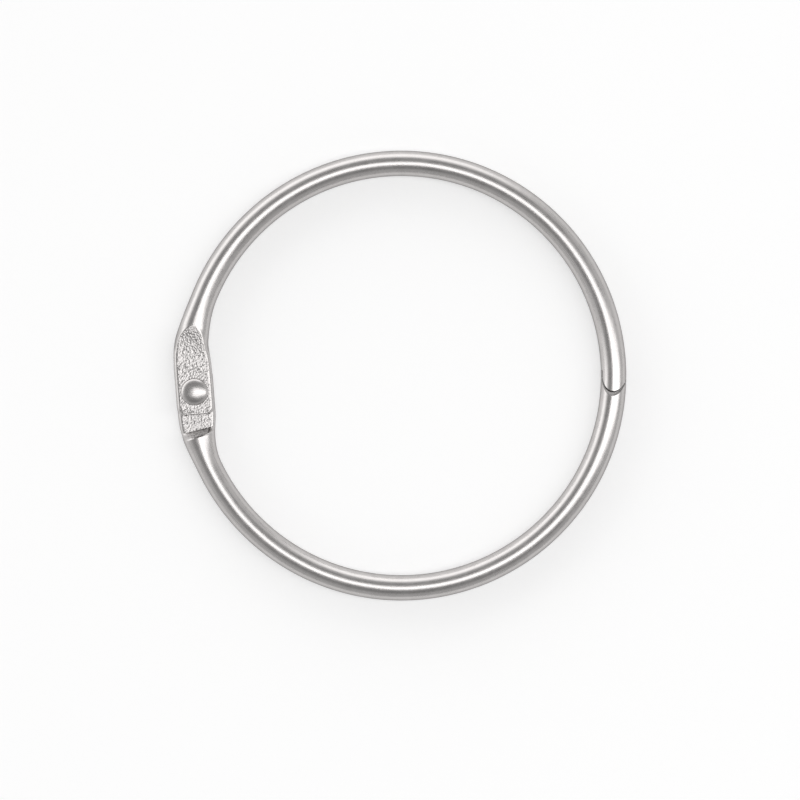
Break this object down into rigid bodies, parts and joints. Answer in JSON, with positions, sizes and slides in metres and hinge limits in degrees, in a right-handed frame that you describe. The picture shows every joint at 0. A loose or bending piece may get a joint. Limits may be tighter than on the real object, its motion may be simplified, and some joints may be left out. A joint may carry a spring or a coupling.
{
  "type": "hinged key ring",
  "caption": "Round wire ring in two halves that turn on a domed rivet through flattened, lapped ends and snap together at a lap joint opposite, for holding keys, cards or punched sheets.",
  "frame": {"origin": "centre of the ring's opening, on the surface that the ring lies on", "axes": "+Z along the ring's axis, up out of the side with the rivet's domed head; +X from the hinge towards the closure; +Y towards the upper arm"},
  "size_m": [0.0567, 0.0564, 0.0036],
  "materials": {
    "arm_plate": "satin nickel plate on steel wire, coarse grain on the pressed faces",
    "rivet_plate": "bright nickel plate on steel"
  },
  "bodies": {
    "lower_half": {"lower_arm": "arm_plate", "hinge_rivet": "rivet_plate"},
    "upper_half": {"upper_arm": "arm_plate"}
  },
  "joints": [
    {"name": "hinge_swing", "type": "hinge", "parent": "lower_half", "child": "upper_half", "pos_m": [-0.02587, -0.00204, 0.0016], "axis": [0, 0, 1], "range_deg": [0, 135]}
  ]
}
